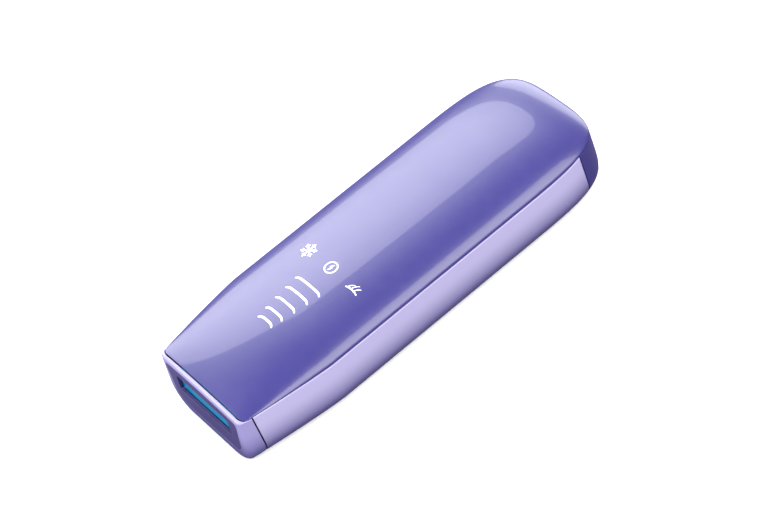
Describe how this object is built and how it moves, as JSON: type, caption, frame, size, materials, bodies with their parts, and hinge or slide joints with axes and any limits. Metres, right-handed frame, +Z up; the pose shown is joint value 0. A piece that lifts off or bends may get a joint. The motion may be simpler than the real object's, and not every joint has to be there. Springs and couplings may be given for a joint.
{
  "type": "light-based hair removal handset",
  "caption": "Hand-held light-based hair remover with a cooled contact window in its nose, a lit crowned display cover, underside buttons and an internal fan.",
  "frame": {"origin": "middle of the bottom of the bounding box, on the flat underside", "axes": "+Z up through the display side, +Y from the contact window to the power inlet, +X across the body"},
  "size_m": [0.0636, 0.1802, 0.031],
  "materials": {
    "face": "gloss moulded",
    "sapphire": "polished",
    "seal": "matt",
    "lavender_satin": "satin pearl",
    "icon_light": "lit translucent",
    "lavender_gloss": "high gloss",
    "violet_satin": "satin pearl",
    "copper": "machined",
    "ceramic_white": "ceramic",
    "black_part": "moulded",
    "aluminium": "extruded",
    "filter_glass": "polished",
    "mirror_metal": "polished",
    "lamp_glass": "clear",
    "steel": "drawn",
    "white_part": "moulded",
    "board_green": "solder mask",
    "sleeve": "shrink sleeve",
    "winding": "taped",
    "button_gloss": "gloss",
    "brass_pin": "plated"
  },
  "bodies": {
    "handset": {"face_plate": "face", "sapphire_window": "sapphire", "window_seal": "seal", "front_collar": "lavender_satin", "level_bars": "icon_light", "snowflake_icon": "icon_light", "flash_icon": "icon_light", "hair_icon": "icon_light", "lower_housing": "lavender_satin", "top_cover": "lavender_gloss", "rear_cap": "violet_satin", "cold_frame": "copper", "peltier_module": "ceramic_white", "heat_pipes": "copper", "hot_block": "copper", "thermistor": "black_part", "heat_sink": "aluminium", "uv_filter": "filter_glass", "lamp_reflector": "mirror_metal", "xenon_lamp": "lamp_glass", "lamp_electrodes": "steel", "lamp_holder": "white_part", "fan_frame": "black_part", "intake_grille": "violet_satin", "power_board": "board_green", "board_screws": "steel", "flash_capacitor": "sleeve", "capacitor_clip": "white_part", "trigger_transformer": "winding", "charge_choke": "black_part", "lamp_driver": "black_part", "display_board": "board_green", "light_shield": "white_part", "indicator_leds": "white_part", "flash_switch": "steel", "power_switch": "steel", "mode_switch": "steel", "button_board": "board_green", "power_jack": "black_part", "jack_pin": "brass_pin", "housing_screws": "steel"},
    "flash_key": {"flash_button": "button_gloss", "flash_plunger": "black_part"},
    "power_key": {"power_button": "button_gloss", "power_plunger": "black_part"},
    "mode_key": {"mode_button": "button_gloss", "mode_plunger": "black_part"},
    "fan_rotor": {"fan_impeller": "black_part", "fan_shaft": "steel"}
  },
  "joints": [
    {"name": "flash_press", "type": "slide", "parent": "handset", "child": "flash_key", "axis": [0, 0, 1], "range_m": [0, 0.0006], "stiffness_N_per_m": 900},
    {"name": "power_press", "type": "slide", "parent": "handset", "child": "power_key", "axis": [0, 0, 1], "range_m": [0, 0.0006], "stiffness_N_per_m": 900},
    {"name": "mode_press", "type": "slide", "parent": "handset", "child": "mode_key", "axis": [0, 0, 1], "range_m": [0, 0.0006], "stiffness_N_per_m": 900},
    {"name": "fan_spin", "type": "hinge", "parent": "handset", "child": "fan_rotor", "pos_m": [0, 0.002, 0.01], "axis": [0, 0, 1], "continuous": true}
  ]
}
